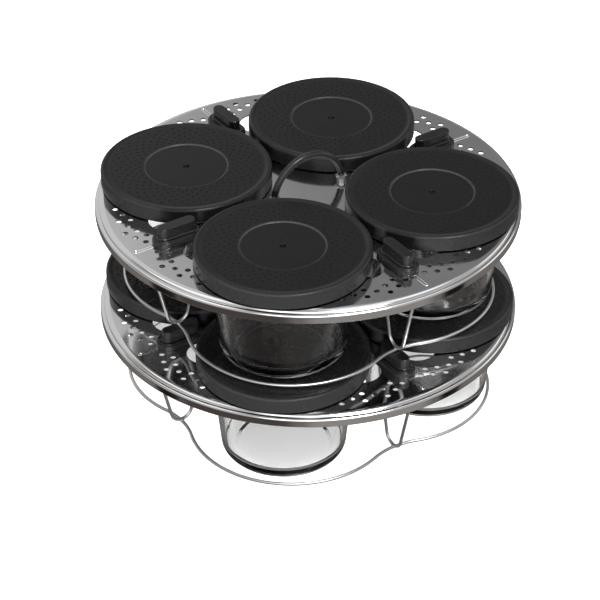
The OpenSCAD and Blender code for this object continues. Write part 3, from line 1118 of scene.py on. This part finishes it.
def studio_world():
    """The studio that the steel and glass mirror, dim to matt surfaces and white to the camera."""
    world = bpy.data.worlds.new("studio")
    bpy.context.scene.world = world
    world.use_nodes = True
    tree = world.node_tree
    coords = tree.nodes.new("ShaderNodeTexCoord").outputs["Generated"]
    split = tree.nodes.new("ShaderNodeSeparateXYZ")
    tree.links.new(coords, split.inputs[0])
    patches = tree.nodes.new("ShaderNodeTexNoise")
    patches.inputs["Scale"].default_value = 3.0
    patches.inputs["Detail"].default_value = 2
    tree.links.new(coords, patches.inputs["Vector"])
    below = world_mix(tree, (0.23, 0.21, 0.195), (0.13, 0.112, 0.103))
    tree.links.new(patches.outputs["Fac"], below.inputs["Factor"])
    room = world_mix(tree, (0.0, 0.0, 0.0), (0.5, 0.5, 0.5))
    tree.links.new(below.outputs["Result"], room.inputs["A"])
    tree.links.new(world_ramp(tree, split.outputs["Z"], -0.06, 0.06), room.inputs["Factor"])
    colour = room.outputs["Result"]
    for side, height, half, soft, tone in STUDIO_PANELS:
        a, h = math.radians(FRONT + side), math.radians(height)
        near = tree.nodes.new("ShaderNodeVectorMath")
        near.operation = "DOT_PRODUCT"
        level = math.cos(h)
        near.inputs[1].default_value = (math.cos(a) * level, math.sin(a) * level, math.sin(h))
        tree.links.new(coords, near.inputs[0])
        start = math.cos(math.radians(half + soft / 2))
        end = math.cos(math.radians(max(half - soft / 2, 0)))
        panel = world_mix(tree, tone, tone)
        tree.links.new(colour, panel.inputs["A"])
        tree.links.new(world_ramp(tree, near.outputs["Value"], start, end), panel.inputs["Factor"])
        colour = panel.outputs["Result"]
    background = tree.nodes["Background"]
    tree.links.new(colour, background.inputs["Color"])
    seen = tree.nodes.new("ShaderNodeBackground")
    seen.inputs["Color"].default_value = (1, 1, 1, 1)
    path = tree.nodes.new("ShaderNodeLightPath")
    dim = tree.nodes.new("ShaderNodeBackground")
    dim.inputs["Color"].default_value = (0.04, 0.04, 0.04, 1)
    shown = world_pick(tree, path.outputs["Is Diffuse Ray"], background, dim)
    shown = world_pick(tree, path.outputs["Is Camera Ray"], shown, seen)
    tree.links.new(shown.outputs[0], tree.nodes["World Output"].inputs["Surface"])


def world_pick(tree, test, usual, special):
    """The special background where test is 1, and the usual one elsewhere."""
    mix = tree.nodes.new("ShaderNodeMixShader")
    tree.links.new(test, mix.inputs["Fac"])
    tree.links.new(usual.outputs[0], mix.inputs[1])
    tree.links.new(special.outputs[0], mix.inputs[2])
    return mix


def world_mix(tree, first, second):
    """A mix node of two colours, whose factor is to be linked."""
    node = tree.nodes.new("ShaderNodeMix")
    node.data_type = "RGBA"
    node.inputs["A"].default_value = (*first, 1)
    node.inputs["B"].default_value = (*second, 1)
    return node


def world_ramp(tree, value, start, end):
    """A smooth step from 0 to 1 as value goes from start to end."""
    node = tree.nodes.new("ShaderNodeMapRange")
    node.interpolation_type = "SMOOTHSTEP"
    node.inputs["From Min"].default_value = start
    node.inputs["From Max"].default_value = end
    tree.links.new(value, node.inputs["Value"])
    return node.outputs["Result"]


def area_light(name, place, aim, size, power):
    """A soft round lamp that isn't seen in the steel. Its place, aim and size are in metres."""
    light = bpy.data.lights.new(name, "AREA")
    light.shape = "DISK"
    light.size = size
    light.energy = power
    lamp = bpy.data.objects.new(name, light)
    bpy.context.scene.collection.objects.link(lamp)
    lamp.location = place
    lamp.rotation_euler = (Vector(aim) - Vector(place)).to_track_quat("-Z", "Y").to_euler()
    lamp.visible_glossy = False


def studio_lights():
    """A faint overhead lamp, the main lamp low beyond the left front, and a faint one behind."""
    middle = (0, 0, 0.1)
    area_light("overhead", (-0.2, -0.3, 1.7), middle, 1.5, 0.6)
    area_light("low_front", (-1.26, -1.52, 0.2), middle, 0.5, 106)
    area_light("right_back", (1.3, 0.9, 1.1), middle, 0.9, 1)


# In metres from the middle of the upper tray's top, and the way that the camera faces.
CAMERA_PLACE = (-0.7646, -1.1368, 0.8455)
CAMERA_AIM = (0.4577, 0.6867, -0.5648)
CAMERA_LENS = 137.2


def camera():
    """The camera, at its place beyond the upper tray's top."""
    data = bpy.data.cameras.new("camera")
    data.lens = CAMERA_LENS
    data.sensor_width = 36.0
    data.clip_start = 0.05
    obj = bpy.data.objects.new("camera", data)
    bpy.context.scene.collection.objects.link(obj)
    obj.location = Vector(CAMERA_PLACE) + Vector((0, 0, lift["upper"] * MM))
    obj.rotation_euler = Vector(CAMERA_AIM).to_track_quat("-Z", "Y").to_euler()
    bpy.context.scene.camera = obj


build()
pale_floor()
studio_world()
studio_lights()
camera()
bpy.context.scene.view_settings.view_transform = "Standard"
